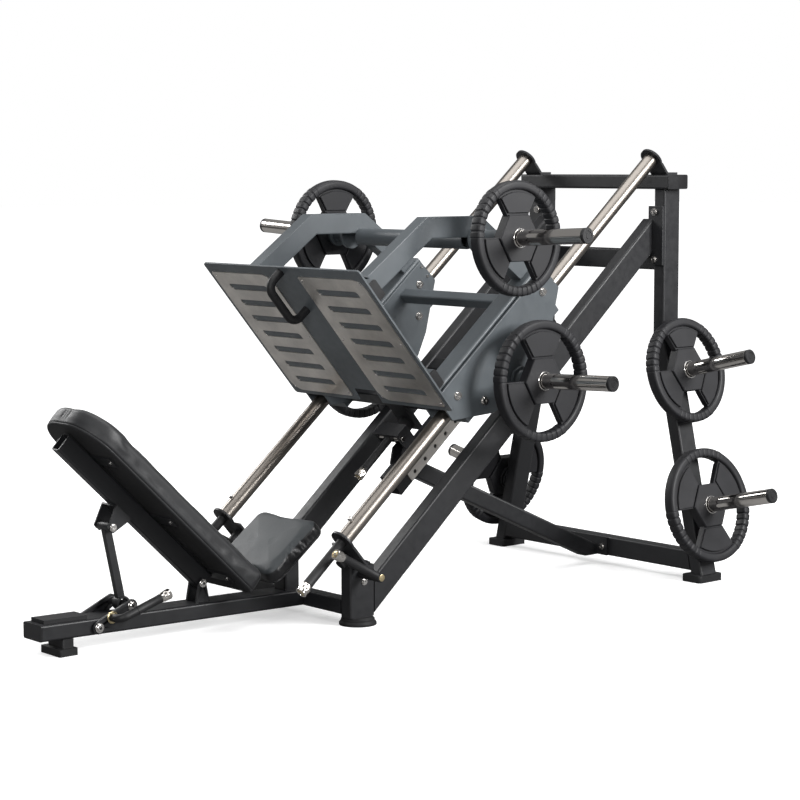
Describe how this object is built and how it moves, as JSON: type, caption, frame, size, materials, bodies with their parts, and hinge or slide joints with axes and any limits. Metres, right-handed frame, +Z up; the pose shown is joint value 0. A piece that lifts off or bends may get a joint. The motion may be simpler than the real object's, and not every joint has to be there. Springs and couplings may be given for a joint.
{
  "type": "leg press machine",
  "caption": "Inclined sled leg press: a seated user pushes a foot panel and plate-loaded carriage up two guide rods, with an adjustable backrest, release levers and plate storage.",
  "frame": {"origin": "middle of the machine's bounding box, at floor level", "axes": "+X from the bench to the rear uprights along the machine, +Y to the left of the seated user's machine seen from the bench, +Z up"},
  "size_m": [2.606, 1.633, 1.5006],
  "materials": {
    "black_paint": "satin charcoal powder coat",
    "grey_paint": "satin blue-grey powder coat",
    "chrome": "polished hard chrome",
    "brushed": "brushed stainless steel",
    "fastener_steel": "bright zinc-plated steel",
    "feet_rubber": "matt moulded rubber",
    "grip_rubber": "matt grip rubber with bright end caps",
    "cap_plastic": "black moulded plugs",
    "back_leather": "black upholstery",
    "seat_leather": "black upholstery",
    "plate_rubber": "cast iron in a black rubber coat, steel bore ring"
  },
  "bodies": {
    "frame": {"bench_beam": "black_paint", "bench_foot": "feet_rubber", "hinge_ears": "black_paint", "pivot_pins": "fastener_steel", "front_cross_tube": "black_paint", "front_posts": "black_paint", "front_feet": "feet_rubber", "main_beams": "black_paint", "beam_flanges": "black_paint", "rear_uprights": "black_paint", "top_cross_tube": "black_paint", "frame_end_caps": "cap_plastic", "upper_cross_tube": "black_paint", "base_cross_tube": "black_paint", "rear_feet": "feet_rubber", "diagonal_brace": "black_paint", "stop_rail": "black_paint", "rail_cross_tube": "black_paint", "rail_strip": "brushed", "guide_rods": "chrome", "rod_brackets_top": "black_paint", "rod_brackets_bottom": "black_paint", "storage_pegs": "chrome", "seat_support": "black_paint", "seat_pad": "seat_leather", "frame_bolts": "fastener_steel", "grab_handles": "grip_rubber", "rubber_stops": "feet_rubber", "stop_housing": "black_paint"},
    "carriage": {"foot_panel": "grey_paint", "tread_plates": "brushed", "panel_handle": "grip_rubber", "panel_tubes": "grey_paint", "panel_tube_caps": "cap_plastic", "side_plates": "grey_paint", "bearing_tubes": "grey_paint", "carriage_arches": "grey_paint", "carriage_cross_tubes": "grey_paint", "rest_crossbar": "black_paint", "bearing_blocks": "grey_paint", "bearing_bushes": "chrome", "carriage_pegs": "chrome", "carriage_bolts": "fastener_steel"},
    "backrest": {"backrest_pad": "back_leather", "backrest_frame": "black_paint", "backrest_fasteners": "fastener_steel"},
    "strut": {"recline_strut": "black_paint"},
    "toggle": {"toggle_link": "black_paint", "toggle_handle": "grip_rubber"},
    "release_lever_left": {"release_lever_left": "grip_rubber"},
    "release_lever_right": {"release_lever_right": "grip_rubber"},
    "catch": {"catch_lever": "grip_rubber"},
    "weight_top_left": {"weight_top_left": "plate_rubber"},
    "weight_top_right": {"weight_top_right": "plate_rubber"},
    "weight_middle_left": {"weight_middle_left": "plate_rubber"},
    "weight_middle_right": {"weight_middle_right": "plate_rubber"},
    "weight_store_upper_left": {"weight_store_upper_left": "plate_rubber"},
    "weight_store_upper_right": {"weight_store_upper_right": "plate_rubber"},
    "weight_store_lower_left": {"weight_store_lower_left": "plate_rubber"},
    "weight_store_lower_right": {"weight_store_lower_right": "plate_rubber"}
  },
  "joints": [
    {"name": "carriage_slide", "type": "slide", "parent": "frame", "child": "carriage", "axis": [0.7615, 0, 0.6481], "range_m": [0, 0.58]},
    {"name": "toggle_hinge", "type": "hinge", "parent": "frame", "child": "toggle", "pos_m": [-1.108, 0, 0.072], "axis": [0, -1, 0], "range_deg": [0, 28]},
    {"name": "backrest_hinge", "type": "hinge", "parent": "frame", "child": "backrest", "pos_m": [-0.705, 0, 0.152], "axis": [0, 1, 0], "range_deg": [0, 10.08]},
    {"name": "strut_hinge", "type": "hinge", "parent": "backrest", "child": "strut", "pos_m": [-1.041, 0, 0.366], "axis": [0, 1, 0], "range_deg": [0, 8.4]},
    {"name": "release_lever_right_hinge", "type": "hinge", "parent": "frame", "child": "release_lever_right", "pos_m": [-0.277, -0.372, 0.166], "axis": [0, 1, 0], "range_deg": [0, 60]},
    {"name": "release_lever_left_hinge", "type": "hinge", "parent": "frame", "child": "release_lever_left", "pos_m": [-0.277, 0.372, 0.166], "axis": [0, 1, 0], "range_deg": [0, 60]},
    {"name": "catch_hinge", "type": "hinge", "parent": "frame", "child": "catch", "pos_m": [0.09136, 0, 0.54123], "axis": [0, 1, 0], "range_deg": [0, 18]},
    {"name": "weight_top_left_slide", "type": "slide", "parent": "carriage", "child": "weight_top_left", "axis": [0, 0.9988, 0.0488], "range_m": [0, 0.25]},
    {"name": "weight_top_right_slide", "type": "slide", "parent": "carriage", "child": "weight_top_right", "axis": [0, -0.9988, 0.0488], "range_m": [0, 0.25]},
    {"name": "weight_middle_left_slide", "type": "slide", "parent": "carriage", "child": "weight_middle_left", "axis": [0, 0.9991, 0.0419], "range_m": [0, 0.25]},
    {"name": "weight_middle_right_slide", "type": "slide", "parent": "carriage", "child": "weight_middle_right", "axis": [0, -0.9991, 0.0419], "range_m": [0, 0.25]},
    {"name": "weight_store_upper_left_slide", "type": "slide", "parent": "frame", "child": "weight_store_upper_left", "axis": [0, 0.9748, 0.2233], "range_m": [0, 0.23]},
    {"name": "weight_store_upper_right_slide", "type": "slide", "parent": "frame", "child": "weight_store_upper_right", "axis": [0, -0.9748, 0.2233], "range_m": [0, 0.23]},
    {"name": "weight_store_lower_left_slide", "type": "slide", "parent": "frame", "child": "weight_store_lower_left", "axis": [0, 0.9748, 0.2233], "range_m": [0, 0.23]},
    {"name": "weight_store_lower_right_slide", "type": "slide", "parent": "frame", "child": "weight_store_lower_right", "axis": [0, -0.9748, 0.2233], "range_m": [0, 0.23]}
  ],
  "couplings": [
    {"joint": "backrest_hinge", "follows": "toggle_hinge", "ratio": 0.36},
    {"joint": "strut_hinge", "follows": "toggle_hinge", "ratio": 0.3}
  ]
}
